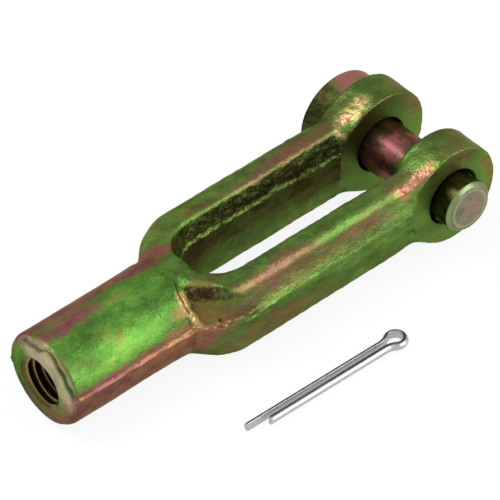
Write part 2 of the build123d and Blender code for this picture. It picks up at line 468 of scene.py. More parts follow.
def store(piece, name, values):
    """Keeps a number for each point of the mesh, which a finish can read by its name."""
    layer = piece.data.attributes.new(name, "FLOAT", "POINT")
    layer.data.foreach_set("value", np.asarray(values, dtype=np.float32))


def points_of(piece):
    """The mesh's points and normals, as arrays."""
    count = len(piece.data.vertices)
    points, normals = np.empty(count * 3, np.float32), np.empty(count * 3, np.float32)
    piece.data.vertices.foreach_get("co", points)
    piece.data.vertex_normals.foreach_get("vector", normals)
    return points.reshape(-1, 3).astype(float), normals.reshape(-1, 3).astype(float)


# ------------------------------------------------------------------ the forging
# The soft edges below are (start, end) pairs in millimetres. Those whose place isn't said lie along
# the fork, from the pin's axis.
EYE_SWELL_WAY = math.radians(38)  # The eyes bulge most at this angle up from the X axis.
EYE_BLEND_LEAST = 0.1 * MM
EYE_BLEND_FROM = (3.5, 6.5)  # Above or below the parting plane.
FAR_SHOULDER_ROUNDER = 1.2 * MM
SHANK_SHORT_OF_SLOT = 1 * MM
TORN_EDGE_SOFT = 0.15 * MM
TORN_EDGE_DROP, TORN_EDGE_DROPS = 0.7 * MM, (-30, -11)
# The torn edge's waves, as (share, wavelength / 2 pi in millimetres, phases), and their swell.
TORN_WAVES, TORN_HEIGHT, TORN_SWELL = ((0.6, 0.9, 1.0), (0.5, 0.41, 2.3)), 0.22 * MM, 2.3 * MM
# The slip between the dies: where it grows and goes, and how far up the flank its step is spread.
SHIFT_GROWS, SHIFT_GOES = (-76, -66), (-17, -8.5)
SHIFT_SHARP, SHIFT_SPREAD, SHIFT_SPREADS = 0.2 * MM, 4 * MM, (-62, -46)

# The hollow's wall from its lip up, as (inset from the shoulder's outline, height above the parting
# plane) in millimetres, and the plane that closes it towards the shank.
HOLLOW_WALL = ((0.0, 0.0), (1.6, 6.0), (3.3, 7.9), (4.9, 8.65))
HOLLOW_END_WAY = np.array([0.72, -0.52, 0.46])
HOLLOW_END_AT = np.array([0.0, -7.6, 8.2]) * MM
# Towards the pin, its lip and its upper wall close over these lengths and by these amounts.
LIP_CLOSES, LIP_CLOSES_BY = (-65.5, -60), 0.5 * MM
WALL_CLOSES, WALL_CLOSES_BY = (-64, -60.8), 3 * MM
HOLLOW_STOPS, HOLLOW_STOP_ROUND = -57.6 * MM, 1.2 * MM
HOLLOW_CORNER, LIP_HEIGHT, LIP_ROUND = 0.5 * MM, 0.1 * MM, 0.2 * MM


def past(value, edge):
    """0 before a soft edge, 1 past it, where the edge is (start, end) in millimetres."""
    return ease(value, edge[0] * MM, edge[1] * MM)


def between(value, first, second):
    """1 between two soft edges, given in millimetres, and 0 outside them."""
    return past(value, first) * (1 - past(value, second))


def above_parting(points, sizes):
    """Height above the dies' parting plane, which falls towards the far side."""
    return points[..., 2] - sizes.parting_height + sizes.parting_lean * points[..., 1]


def torn_height(x, y, sizes):
    """Height of the slot's torn edge: its size, plus two sine waves along the slot that a third
    makes swell and fade, less a soft drop towards the eyes. The two sides are out of step."""
    phase = np.where(y > 0, 0.0, 2.0)
    waves = (share * np.sin(x / (run * MM) + out * phase) for share, run, out in TORN_WAVES)
    waver = TORN_HEIGHT * sum(waves) * np.sin(x / TORN_SWELL + phase)
    return sizes.slot_step_height + waver - TORN_EDGE_DROP * past(x, TORN_EDGE_DROPS)


def shifted(points, sizes):
    """The points as their own die saw them: the upper die stood a little to the far side, the
    lower to the near side. The step between them is sharp at the shoulders and ground away along
    the arms."""
    x = points[..., 0]
    step = SHIFT_SHARP + SHIFT_SPREAD * past(x, SHIFT_SPREADS)
    upper = 2 * ease(above_parting(points, sizes), -step, step) - 1
    shift = (sizes.die_shift - sizes.die_shift_shank) * past(x, SHIFT_GROWS)
    shift = (sizes.die_shift_shank + shift) * (1 - past(x, SHIFT_GOES))
    moved = points.copy()
    moved[..., 1] -= shift * upper
    return moved


def outline(points, sizes):
    """Distance outside the fork's outline on the parting plane: the arms' sides, drawn in to the
    shank at the shoulders."""
    far = points[..., 1] > 0
    way = np.array([-sizes.shoulder_drop, sizes.shoulder_run])
    way /= np.linalg.norm(way)
    side = np.abs(points[..., 1]) - sizes.arm_outer
    corner = -sizes.shoulder_from_pin + np.where(far, sizes.far_shoulder_lead, 0)
    flank = (points[..., 0] - corner) * way[0] + side * way[1]
    return round_max(side, flank, sizes.shoulder_round + np.where(far, FAR_SHOULDER_ROUNDER, 0))


def past_hollow_end(points, sizes):
    """Distance past the plane that closes the hollow, on the pin's side of it."""
    way = HOLLOW_END_WAY / np.linalg.norm(HOLLOW_END_WAY)
    return (points - (HOLLOW_END_AT - (sizes.hollow_from_pin, 0, 0))) @ way


def hollow(points, sizes):
    """The hollow in the near shoulder, where the dies weren't filled: above 0 in what is missing.
    Its wall starts at the parting plane and leans further in with each straight piece of its
    section. Towards the pin the lowest piece turns to the sides' own draft, and all of them
    close."""
    x, y = points[..., 0], points[..., 1]
    height, inset = above_parting(points, sizes), outline(shifted(points, sizes), sizes)
    lip_open, wall_open = 1 - past(x, LIP_CLOSES), 1 - past(x, WALL_CLOSES)
    corners, draft = np.array(HOLLOW_WALL) * MM, math.tan(sizes.draft)
    pieces = []
    for low, high in zip(corners, corners[1:]):
        run, rise = high - low
        lean, closed = run / rise, (1 - wall_open) * WALL_CLOSES_BY
        if not pieces:
            lean = draft + (lean - draft) * lip_open
            closed = (1 - lip_open) * LIP_CLOSES_BY
        from_wall = inset + low[0] + (height - low[1]) * lean
        pieces.append(from_wall / np.hypot(1, lean) - closed)
    wall = np.maximum.reduce(pieces)
    missing = round_min(wall, past_hollow_end(points, sizes), HOLLOW_CORNER)
    missing = np.minimum(round_min(missing, height - LIP_HEIGHT, LIP_ROUND), -y)
    return round_min(missing, HOLLOW_STOPS - x, HOLLOW_STOP_ROUND)


def forging(sizes):
    """The forged blank as a field: a function from points to the distance outside its surface."""
    draft, slot_draft = math.tan(sizes.draft), math.tan(sizes.slot_draft)
    slot_draft_below = math.tan(sizes.slot_draft_below)
    slot_centre = -sizes.slot_depth + sizes.slot_radius
    middle = (sizes.eye_outer_face + EYE_INNER_FACE) / 2
    half_eye = (sizes.eye_outer_face - EYE_INNER_FACE) / 2 + sizes.eye_allowance

    def field(points):
        # The slot and the eyes stand square to the fork. All else has slipped with the dies.
        whole, across, points = points, points[..., 1], shifted(points, sizes)
        x, y, z = points[..., 0], points[..., 1], points[..., 2]
        rise = z - sizes.parting_height
        level = np.abs(rise)
        # The arms: the outline, leaning in to flat faces above and below, and the slot between.
        lean = draft * np.abs(above_parting(points, sizes))
        plan = (outline(points, sizes) + lean) * math.cos(sizes.draft)
        arms = round_max(plan, level - sizes.arm_half_height, sizes.arm_round)
        torn = torn_height(x, y, sizes)
        step = ease(rise, torn - TORN_EDGE_SOFT, torn + TORN_EDGE_SOFT)
        half_slot = sizes.slot_radius + sizes.slot_step * step
        half_slot += slot_draft * np.maximum(rise - torn, 0)
        half_slot += slot_draft_below * np.maximum(-rise, 0)
        from_root = np.hypot(x - slot_centre, across)
        slot = np.where(x > slot_centre, np.abs(across), from_root) - half_slot
        arms = np.maximum(round_max(arms, -slot, sizes.slot_edge), x)
        # The eyes: discs across the pin's axis, which bulge a little away from the shank and up.
        swell = np.where(across > 0, sizes.far_eye_swell, sizes.near_eye_swell)
        outward = x * math.cos(EYE_SWELL_WAY) + z * math.sin(EYE_SWELL_WAY)
        outward = np.maximum(outward, 0) / EYE_RADIUS
        disc = np.hypot(x, z) - EYE_RADIUS - swell * outward**2
        eyes = round_max(disc, np.abs(np.abs(across) - middle) - half_eye, sizes.eye_rim_round)
        fillet = EYE_BLEND_LEAST + sizes.eye_blend * past(level, EYE_BLEND_FROM)
        fork = round_min(arms, eyes, fillet)
        # The shank, which narrows along a cone into the shoulders.
        taper = np.clip((x + sizes.shoulder_from_pin) / sizes.shank_taper + 1, 0, 1)
        radius = sizes.shank_radius - (sizes.shank_radius - sizes.neck_radius) * taper
        shank = round_max(np.hypot(y, z) - radius, SHANK_END - x, sizes.shank_edge_round)
        shank = np.maximum(shank, x + sizes.slot_depth + SHANK_SHORT_OF_SLOT)
        body = round_min(fork, shank, sizes.neck_blend)
        return round_max(body, hollow(whole, sizes), sizes.hollow_edge)

    return field


# Unevenness, as rows of (wavelength in millimetres, height, seed, number of waves).
FLASH_TORN = ((2.2, 0.3, 5, 24), (7, 0.25, 6, 24))
BURR_TORN = ((1.8, 0.6, 7, 24), (8, 0.4, 8, 24))
LAP_WAVER = ((5, 0.15, 11, 24),)
HAMMERED = ((16, 0.03, 1, 24), (6, 0.015, 2, 24))
FINE = ((2.6, 0.011, 3, 32), (1.5, 0.008, 4, 32))
ROUGH = ((3.2, 0.06, 9, 32), (1.6, 0.05, 10, 32))
BRIGHT_ROUGH = ((1.4, 0.06, 13, 32),)
CRUMPLED_ROUGH = ((2.4, 0.05, 14, 32), (1.2, 0.025, 15, 32))
# How high that is, in millimetres: more of it on the arms, in the slot and in the hollow's dark
# band.
FINE_ON_SHANK, FINE_MORE_ON_ARMS, FINE_GROWS = 0.6, 1.3, (-72, -62)
ROUGH_IN_SLOT, ROUGH_IN_DARK_BAND, DARK_BAND_DEPTH, CRACK_DEPTH = 0.5, 1.2, 0.2, 0.45
RIDGE_MORE_AT_END, RIDGE_GROWS = 0.1, (101.5, 103)

# How the blank's mesh is made: room round its box, rounds of evening out, and the reach of a slope.
NET_MARGIN, NORMAL_REACH = Vector((2, 2, 2)) * MM, 0.05 * MM
EVENING_ROUNDS, EVENING_SHARE, NEWTON_STEPS = 3, 0.5, 2

# The marks: the ridge, which was ground away along the arms, and the slot's edge and rough wall.
RIDGE_TOP, RIDGE_GROUND, RIDGE_FADES, RIDGE_ENDS = 0.3, 0.85, (-62, -46), (-36, -20)
RIDGE_OUTSIDE = 9.5 * MM
BURR_INSIDE, BURR_ENDS, BURR_HALF = 8.6 * MM, (-66 * MM, -11 * MM), 0.35 * MM
RAGGED_INSIDE, RAGGED_ENDS = 10.4 * MM, (-66 * MM, -7 * MM)
RAGGED_FROM, RAGGED_TO = (-0.6, 0.3), (8.0, 8.8)  # From the torn edge up to below the arm's top.
# The hollow's surface, its painted bright end, and the dark band between two heights.
POCKET_REACH, POCKET_STARTS, POCKET_ENDS = (0.15, 0.6), (-74, -73), (-58.6, -57.2)
POCKET_ABOVE, POCKET_BEYOND, BRIGHT_REACH = 0.05 * MM, -6 * MM, (0.5, 1.3)
DARK_BAND_FROM, DARK_BAND_TO = (5.6, 6.4), (7.9, 8.5)
# The crack in the hollow's lip, which leans a little and runs between two heights.
CRACK_AT, CRACK_LEAN, CRACK_HALF, CRACK_BEYOND = -65.4 * MM, 0.12, 0.28 * MM, -12 * MM
CRACK_LEANS_ABOUT, CRACK_FROM, CRACK_TO = 2 * MM, (0.9, 1.4), (2.0, 3.2)
# Where the arms run into the eyes and the film is creased, as straight runs in millimetres.
# The creases also take a painted copper highlight.
CRUMPLED = (((-9.8, 10.0, 8.4), (-2.2, 10.6, 12.6)), ((-13.5, -15.4, 8.7), (-6.0, -15.3, 12.6)))
CRUMPLED_REACH = (0.8, 2.8)
# The lap round the shank's end in millimetres, with its soft edges in degrees up from the far side.
LAP_INSET, LAP_STEP, LAP_HALF, LAP_WIDER, LAP_OUTSIDE = 0.45, 0.6, 0.28, 0.25, 9 * MM
LAP_STARTS, LAP_NARROWS, LAP_STEPS, LAP_WIDENS = (45, 65), (80, 95), (90, 103), (120, 132)
LAP_THINS, LAP_THINNER, LAP_ENDS = (160, 172), 0.75, (250, 280)


def relief(points, rows):
    """The sum of the rumples in rows of (wavelength in millimetres, height, seed, waves)."""
    return sum(rumple(points, row[0] * MM, row[2], row[3]) * row[1] for row in rows)


def peak(value, half_width):
    """1 at 0, falling off both ways as exp(-(value / half_width)^2)."""
    return np.exp(-((value / half_width) ** 2))


def ridge_mark(points, sizes):
    """The flash at the parting plane, trimmed to a wavering ridge."""
    x, y = points[:, 0], points[:, 1]
    half = sizes.flash_half_width
    ridge = 1 - ease(np.abs(above_parting(points, sizes)), RIDGE_TOP * half, half)
    ridge *= np.clip(0.8 + relief(points, FLASH_TORN), 0.25, 1.5) * (np.abs(y) > RIDGE_OUTSIDE)
    return ridge * (1 - RIDGE_GROUND * past(x, RIDGE_FADES)) * (1 - past(x, RIDGE_ENDS))


def slot_marks(points, sizes):
    """The torn edge that the punch left in the slot, and the rough wall above it."""
    x, y, z = points.T
    level, aside = z - sizes.parting_height, np.abs(y)
    edge = level - torn_height(x, y, sizes)
    burr = peak(edge, BURR_HALF) * np.clip(0.2 + relief(points, BURR_TORN), 0, 1.3)
    burr *= (aside < BURR_INSIDE) & (x > BURR_ENDS[0]) & (x < BURR_ENDS[1])
    ragged = past(edge, RAGGED_FROM) * (1 - past(np.abs(level), RAGGED_TO))
    ragged *= (aside < RAGGED_INSIDE) & (x > RAGGED_ENDS[0]) & (x < RAGGED_ENDS[1])
    return burr, ragged


def hollow_marks(points, sizes):
    """The hollow's surface, its steep end, painted bright, its dark band and the crack in its lip.
    """
    x, y, z = points.T
    height = above_parting(points, sizes)
    pocket = 1 - past(np.abs(hollow(points, sizes)), POCKET_REACH)
    pocket *= between(x, POCKET_STARTS, POCKET_ENDS)
    pocket *= (height > POCKET_ABOVE) & (y < POCKET_BEYOND)
    bright = pocket * (1 - past(np.abs(past_hollow_end(points, sizes)), BRIGHT_REACH))
    scale = pocket * between(height, DARK_BAND_FROM, DARK_BAND_TO) * (1 - bright)
    from_crack = x - CRACK_AT + CRACK_LEAN * (z - CRACK_LEANS_ABOUT)
    crack = peak(from_crack, CRACK_HALF) * (y < CRACK_BEYOND) * between(z, CRACK_FROM, CRACK_TO)
    return pocket, bright, scale, crack


def crumple_mark(points):
    """The creased film, which takes a painted copper highlight and fades with the distance from the
    nearest of the straight runs.
    """
    crumple = 0
    for start, end in CRUMPLED:
        start, run = np.array(start) * MM, np.subtract(end, start) * MM
        share = np.clip((points - start) @ run / (run @ run), 0, 1)
        gap = np.linalg.norm(points - start - share[:, None] * run, axis=1)
        crumple = np.maximum(crumple, 1 - past(gap, CRUMPLED_REACH))
    return crumple


def lap_mark(points):
    """The lap round the shank's end: a groove that starts, steps aside, widens, thins and ends at
    given angles round the shank."""
    x, y, z = points.T
    turn = np.degrees(np.arctan2(z, y)) % 360
    inset = LAP_INSET + LAP_STEP * ease(turn, *LAP_STEPS) + relief(points, LAP_WAVER)
    wider = ease(turn, *LAP_WIDENS) + 1 - ease(turn, *LAP_NARROWS)
    lap = peak(x - SHANK_END - inset * MM, (LAP_HALF + LAP_WIDER * wider) * MM)
    lap *= (np.hypot(y, z) > LAP_OUTSIDE) * ease(turn, *LAP_STARTS) * (1 - ease(turn, *LAP_ENDS))
    return lap * (1 - LAP_THINNER * ease(turn, *LAP_THINS))


MARKS = ("ridge", "burr", "ragged", "pocket", "bright", "scale", "crack", "crumple", "groove")


def marks(points, sizes):
    """What the dies, the trimming and the punch leave on the surface, as a share from 0 to about
    1.5 at each point, by name."""
    shares = (
        ridge_mark(points, sizes),
        *slot_marks(points, sizes),
        *hollow_marks(points, sizes),
        crumple_mark(points),
        lap_mark(points),
    )
    return dict(zip(MARKS, shares))


def forged_skin(sizes, field):
    """The blank's mesh: its field wrapped in quads, evened out, brought onto the surface, and
    then moved along its normals by the hammered unevenness and by the marks."""
    low, high = FORK_LOW - NET_MARGIN, FORK_HIGH + NET_MARGIN
    points, quads = net(field, low, high, sizes.mesh_step)
    for _ in range(EVENING_ROUNDS):
        points = settle(relax(points, quads, EVENING_SHARE), field, NEWTON_STEPS)
    normals = slope(field, points, NORMAL_REACH)
    normals /= np.linalg.norm(normals, axis=1, keepdims=True)
    x, mark = points[:, 0], marks(points, sizes)
    rough = ROUGH_IN_SLOT * mark["ragged"] + ROUGH_IN_DARK_BAND * mark["scale"]
    height = relief(points, HAMMERED) + relief(points, ROUGH) * rough
    height += relief(points, FINE) * (FINE_ON_SHANK + FINE_MORE_ON_ARMS * past(x, FINE_GROWS))
    height += relief(points, BRIGHT_ROUGH) * mark["bright"]
    height += relief(points, CRUMPLED_ROUGH) * mark["crumple"]
    height -= DARK_BAND_DEPTH * mark["scale"] + CRACK_DEPTH * mark["crack"]
    height = height * MM + mark["burr"] * sizes.slot_burr - mark["groove"] * sizes.end_groove
    upright = np.linalg.norm(normals[:, :2], axis=1)
    proud = sizes.flash_proud * upright * (1 + RIDGE_MORE_AT_END * past(-x, RIDGE_GROWS))
    height += mark["ridge"] * proud
    return points + normals * height[:, None], quads


# How far the cutters reach past the faces that they cut, and where the thread stops, in the slot.
PAST_EYE, PAST_END, THREAD_STOPS = 4 * MM, 2 * MM, -58 * MM
SPOT_FACE_CORNER, SPOT_FACE_RING = 0.3 * MM, 1 * MM
ACROSS = (0, 1, 0)


def mirrored(half):
    """An outline that is the same on both sides of 0, from its half past 0."""
    return [(-along, radius) for along, radius in reversed(half)] + half


def machining(sizes, finish, thread_finish):
    """The cutters: the eyes' outer faces, the gap between them, the bore and the tapped hole."""
    hole, face = sizes.hole_radius, sizes.spot_face_radius
    outer, inner, corner = sizes.eye_outer_face, EYE_INNER_FACE, SPOT_FACE_CORNER
    beyond = outer + PAST_EYE
    spot = [(outer, 0), (outer, face - corner - SPOT_FACE_RING)]
    spot += arc((outer + corner, face - corner), corner, 180, 90, 4)
    spot += [(beyond, face), (beyond, 0)]
    wide, chamfer = hole + sizes.countersink, sizes.inner_chamfer
    bore = [(inner, hole + chamfer), (inner + chamfer, hole)]
    bore += [(outer - sizes.countersink, hole), (outer, wide), (beyond, wide), (beyond, 0)]
    start, mouth = SHANK_END - PAST_END, TAP_RADIUS + sizes.thread_chamfer
    cone = [(start, 0), (start, mouth + PAST_END), (SHANK_END + mouth, 0)]
    middle = (0, 0, 0)
    thread = threaded_rod(start, THREAD_STOPS, TAP_RADIUS, sizes.thread_depth, sizes.thread_pitch)
    return [
        lathe(spot, middle, ACROSS) + (finish,),
        lathe(spot, middle, (0, -1, 0)) + (finish,),
        lathe(mirrored([(inner, face), (inner, 0)]), middle, ACROSS) + (finish,),
        lathe(mirrored(bore), middle, ACROSS) + (finish,),
        lathe(cone, middle, (1, 0, 0)) + (thread_finish,),
        thread + (thread_finish,),
    ]


# How far out from the surface the finishes look for other parts of the fork, to paint shade.
SHELTER_REACH, CREASE_REACH = 10 * MM, 2.5 * MM


class CLEVIS_OT_fork(bpy.types.Operator):
    """Makes the forged fork, with its machined eyes, its bored holes and its tapped shank"""

    bl_idname = "clevis.fork"
    bl_label = "Fork"

    def execute(self, context):
        sizes = context.scene.clevis_fork_sizes
        finish, cut_finish, thread_finish = forged_plating(), machined_plating(), thread_plating()
        field = forging(sizes)
        points, quads = forged_skin(sizes, field)
        fork = new_piece("forged_fork", points, quads.tolist())
        fork.data.materials.append(finish)
        fork.data.validate()
        cut(fork, machining(sizes, cut_finish, thread_finish))
        smooth(fork)
        place, way = points_of(fork)
        shares = marks(place, sizes)
        shares["to_end"], shares["to_top"] = -way[:, 0], way[:, 2]
        # How enclosed each point is, over a long and a short reach: the finish paints shade by
        # these.
        for name, reach in (("shelter", SHELTER_REACH), ("crease", CREASE_REACH)):
            shares[name] = np.clip(1 - field(place + way * reach) / reach, 0, 1)
        for name, share in shares.items():
            store(fork, name, share)
        stand_in(fork, "fork", "clevis_fork")
        return {"FINISHED"}


# ---------------------------------------------------------------------- the pin
# Rings of points inside the corners of the pin's outline, which keep its faces flat.
POINT_RING, SHAFT_RING, NECK_RING, HEAD_RING = 1.5 * MM, 3 * MM, 2 * MM, 3 * MM
DRILL_REACH = 9 * MM


class CLEVIS_OT_pin(bpy.types.Operator):
    """Makes the clevis pin: a turned pin with a flat head, a bevelled point and a cross hole"""

    bl_idname = "clevis.pin"
    bl_label = "Clevis pin"

    def execute(self, context):
        sizes = context.scene.clevis_pin_sizes
        radius, head, point, top = PIN_RADIUS, PIN_HIGH.x, PIN_LOW.y, PIN_HIGH.y
        under = top - sizes.head_thickness
        bevel, edge = sizes.point_bevel, sizes.point_round
        rim, neck = sizes.head_round, sizes.neck_round
        # The bevel's two roundings start this far in from its corners.
        inset = edge * 0.4
        outline = [(point, 0), (point, radius - bevel - POINT_RING)]
        outline += arc((point + edge, radius - bevel - inset), edge, 180, 135, 3)
        outline += arc((point + bevel + inset, radius - edge), edge, 135, 90, 3)
        shaft = np.linspace(point + SHAFT_RING, under - NECK_RING, 12)
        outline += [(along, radius) for along in shaft]
        outline += arc((under - neck, radius + neck), neck, 270, 360, 4)
        outline += [(under, radius + NECK_RING)]
        outline += arc((under + rim, head - rim), rim, 180, 90, 6)
        outline += arc((top - rim, head - rim), rim, 90, 0, 6)
        outline += [(top, head - HEAD_RING), (top, 0)]
        points, faces = lathe(outline, (0, 0, 0), ACROSS, 160)
        pin = new_piece("pin", points, faces)
        pin.data.materials.append(pin_plating())
        hole, chamfer = SPLIT_HOLE_RADIUS, sizes.hole_chamfer
        mouth = math.sqrt(radius**2 - hole**2)
        wide = hole + chamfer + DRILL_REACH - mouth
        drill = mirrored([(mouth - chamfer, hole), (DRILL_REACH, wide), (DRILL_REACH, 0)])
        drill = lathe(drill, SPLIT_HOLE_AT, SPLIT_HOLE_AXIS, 64)
        cut(pin, [drill + (pin.data.materials[0],)])
        smooth(pin, 30)
        stand_in(pin, "pin", "clevis_pin")
        return {"FINISHED"}


# ---------------------------------------------------------------- the split pin
def folded_path(sizes):
    """The inner face of the folded wire: points and ways outward in the split pin's own plane,
    from the short leg's tip along the leg, round the neck, round the eye, and back to the long
    leg's tip."""
    gap, neck, eye = sizes.leg_gap / 2, sizes.neck_radius, sizes.eye_width / 2
    eye_x, neck_y = eye + sizes.wire_radius, gap + neck
    neck_x = eye_x + math.sqrt((eye + neck) ** 2 - neck_y**2)
    meet = math.asin(neck_y / (eye + neck))
    quarter = math.pi / 2
    upper = np.linspace(-quarter, meet - math.pi, 13)
    round_eye = np.linspace(meet, 2 * math.pi - meet, 57)
    lower = np.linspace(math.pi - meet, quarter, 13)

    def bend(turn, x, y, radius, outward):
        way = np.stack([np.cos(turn), np.sin(turn)], axis=1)
        return way * radius + (x, y), way * outward

    def leg(start, end, side):
        x = np.linspace(start, end, 24)
        return np.stack([x, np.full(24, side * gap)], axis=1), np.tile((0.0, side), (24, 1))

    parts = [
        leg(sizes.length - sizes.leg_difference, neck_x, 1.0),
        bend(upper[1:], neck_x, neck_y, neck, -1),
        bend(round_eye[1:-1], eye_x, 0, eye, 1),
        bend(lower[:-1], neck_x, -neck_y, neck, -1),
        leg(neck_x, sizes.length, -1.0),
    ]
    return [np.concatenate(part) for part in zip(*parts)]


def half_round(radius, corner):
    """The wire's section as (across, outward) points, anticlockwise: the flat lies on outward =
    0, and both corners are rounded by circles that touch the flat and the round."""
    across = math.sqrt((radius - corner) ** 2 - corner**2)
    meet = math.atan2(corner, across)
    turn = np.linspace(-math.pi / 2, meet, 5)
    right = np.stack([across + corner * np.cos(turn), corner + corner * np.sin(turn)], axis=1)
    turn = np.linspace(meet, math.pi - meet, 19)[1:-1]
    top = radius * np.stack([np.cos(turn), np.sin(turn)], axis=1)
    left = right[::-1] * (-1, 1)
    flat = np.stack([np.linspace(-across, across, 7)[1:-1], np.zeros(5)], axis=1)
    return np.concatenate([right, top, left, flat])


def rest_tilt(sizes):
    """How far the surface leans that the eyes and the end of the shank both rest on."""
    return math.atan((EYE_RADIUS - sizes.shank_radius) / (-SHANK_END - sizes.shank_edge_round))


class CLEVIS_OT_split_pin(bpy.types.Operator):
    """Makes the split pin: half-round wire folded round an eye into two legs, the one longer"""

    bl_idname = "clevis.split_pin"
    bl_label = "Split pin"

    def execute(self, context):
        sizes = context.scene.clevis_split_pin_sizes
        path, outward = folded_path(sizes)
        section = half_round(sizes.wire_radius, sizes.wire_corner)
        # Each leg's tip narrows over the bevel's length, so a ring of points is added there.
        tips = []
        for tip, before in ((path[0], path[1]), (path[-1], path[-2])):
            way = tip - before
            tips.append([tip - way / np.linalg.norm(way) * sizes.tip_bevel])
        path = np.concatenate([path[:1], tips[0], path[1:-1], tips[1], path[-1:]])
        outward = np.concatenate([outward[:1], outward, outward[-1:]])
        shrink = np.ones((len(path), 1, 1))
        shrink[[0, -1]] = 1 - sizes.tip_bevel / sizes.wire_radius
        middle = section.mean(axis=0)
        rings = middle + (section[None] - middle) * shrink
        flat = path[:, None] + outward[:, None] * rings[..., 1:]
        local = np.concatenate([flat, rings[..., :1]], axis=-1)
        caps = np.stack([local[0].mean(axis=0), local[-1].mean(axis=0)])
        local = np.concatenate([local.reshape(-1, 3), caps])
        tilt, turn = rest_tilt(context.scene.clevis_fork_sizes), sizes.turn
        up = np.array([math.sin(tilt), 0, math.cos(tilt)])
        along = [-math.cos(turn) * math.cos(tilt), math.sin(turn), math.cos(turn) * math.sin(tilt)]
        surface = (-EYE_RADIUS + up[0] * sizes.eye_from_pin) / up[2]
        origin = np.array([-sizes.eye_from_pin, -sizes.aside, surface]) + up * sizes.wire_radius
        points = local @ np.array([along, np.cross(up, along), up]) + origin
        wire = new_piece("split_pin_wire", points, closed_tube(len(path), len(section)))
        wire.data.materials.append(bright_zinc())
        smooth(wire, 40)
        store(wire, "to_top", points_of(wire)[1][:, 2])
        stand_in(wire, "fork", "split_pin")
        return {"FINISHED"}


# --------------------------------------------------------------------- finishes
# The film's tints by its thickness from 0 to 1, and how metallic the filmed and the clear zinc
# are. A film takes the white off the metal's glancing reflections.
FILM_STOPS = (
    (0.00, "olive"),
    (0.22, "green"),
    (0.42, "lime"),
    (0.55, "gold"),
    (0.68, "copper"),
    (0.84, "rose"),
    (1.00, "olive"),
)
FILMED, BARE = 0.9, 0.95
FILM_GLOSS, CLEAR_GLOSS = (0.55, 0.55, 0.42, 1.0), (1.0, 1.0, 1.0, 1.0)

# Up the fork's near flank, as shares of Y and Z, and how far a patch leans along the fork.
FLANK_Y, FLANK_Z, FLANK_LEAN = 0.7607, 0.649, 0.512
# Where the fork's film is thicker: ovals in millimetres, as (along, across, half length, half
# width, added thickness), and how plainly they show.
FILM_SPOTS = (
    (-89, 7.2, 8, 2.0, 0.74),
    (-90, 10.8, 30, 1.8, 0.75),
    (-69, 11.0, 7, 2.5, 0.60),
    (-98, 4.0, 3.5, 5.0, 0.40),
    (-86, -6.8, 26, 1.1, 0.45),
    (-88, -10.2, 34, 3.0, 0.78),
    (-69.5, -2.8, 2.6, 1.8, 0.40),
    (-18, -7.5, 9, 2.2, 0.30),
    (-34, 13.6, 18, 1.4, 0.16),
    (-8, 15.5, 6, 2.0, 0.22),
    (-44, -5.6, 12, 2.2, 0.62),
    (-36, -8.5, 18, 1.8, 0.30),
    (-12, -9.0, 5, 2.0, 0.18),
    (-24, 14.2, 14, 1.8, 0.48),
    (-45, 14.4, 14, 1.0, 0.15),
    (-66, -11.0, 9, 3.0, 0.10),
    (-3, -4.5, 8, 2.4, 0.34),
    (14, -5.0, 5, 4.0, 0.30),
    (9, 14.5, 3.5, 6.0, 0.30),
    (-50, -16.0, 18, 2.0, 0.38),
)
SPOTS_SHOW, OVAL_EDGE = 1.35, 1.7

# How much painted shade each mark adds to the film or, below 0, takes off it as painted light.
DARKENING = {
    "groove": 0.7,
    "crack": 0.8,
    "ridge": -0.3,
    "burr": -0.6,
    "bright": -0.4,
    "crumple": -0.35,
}

# Soft edges in millimetres: along the fork, along the pin, and outward from the pin's axis.
SHANK_DULLS, SHANK_TO_ARMS, ROOT_TO_ARMS = (-72, -62), (-80, -66), (-62, -46)
END_FACE_BEFORE, FLOOR_FADES = (-100, -98), (-68.5, -60)
AHEAD_OF_PIN, MOUTH_TO_DEEP = (6, 13), (-104, -96)
POINT_TO, BEVEL_TO, NEAR_EYE_TO = (-21.95, -21.80), (-21.3, -21.0), (-16, -12)
ROSY_FROM, HEAD_FROM = (-12, -6), (16.5, 17.0)
RING_FROM, RING_TO, HEAD_RADIUS = (4.2, 4.6), (4.8, 5.2), 11.25 * MM


def arithmetic(operation, swapped=False):
    """A method that adds the Math node for one sign, with the channel first or, swapped, last."""

    def method(self, other):
        first, second = (other, self) if swapped else (self, other)
        values = {0: first, 1: second}
        return self.finish.node("ShaderNodeMath", {"operation": operation}, values)

    return method


class Channel:
    """A socket of a finish's node tree. Arithmetic on it adds Math nodes."""

    __add__, __radd__ = arithmetic("ADD"), arithmetic("ADD", True)
    __sub__, __rsub__ = arithmetic("SUBTRACT"), arithmetic("SUBTRACT", True)
    __mul__, __rmul__ = arithmetic("MULTIPLY"), arithmetic("MULTIPLY", True)
    __truediv__, __pow__ = arithmetic("DIVIDE"), arithmetic("POWER")
    larger = arithmetic("MAXIMUM")

    def __init__(self, finish, socket):
        self.finish, self.socket = finish, socket

    def rise(self, start, end):
        """0 before start, 1 after end, smooth between."""
        values = {"Value": self, "From Min": start, "From Max": end, "To Min": 0.0, "To Max": 1.0}
        return self.finish.node("ShaderNodeMapRange", {"interpolation_type": "SMOOTHSTEP"}, values)

    def past(self, start, end):
        """The same for a length, with the start and the end in millimetres."""
        return self.rise(start * MM, end * MM)

    def sway(self, amount):
        """A noise moved so that it lies about 0, times an amount."""
        return (self - 0.5) * amount


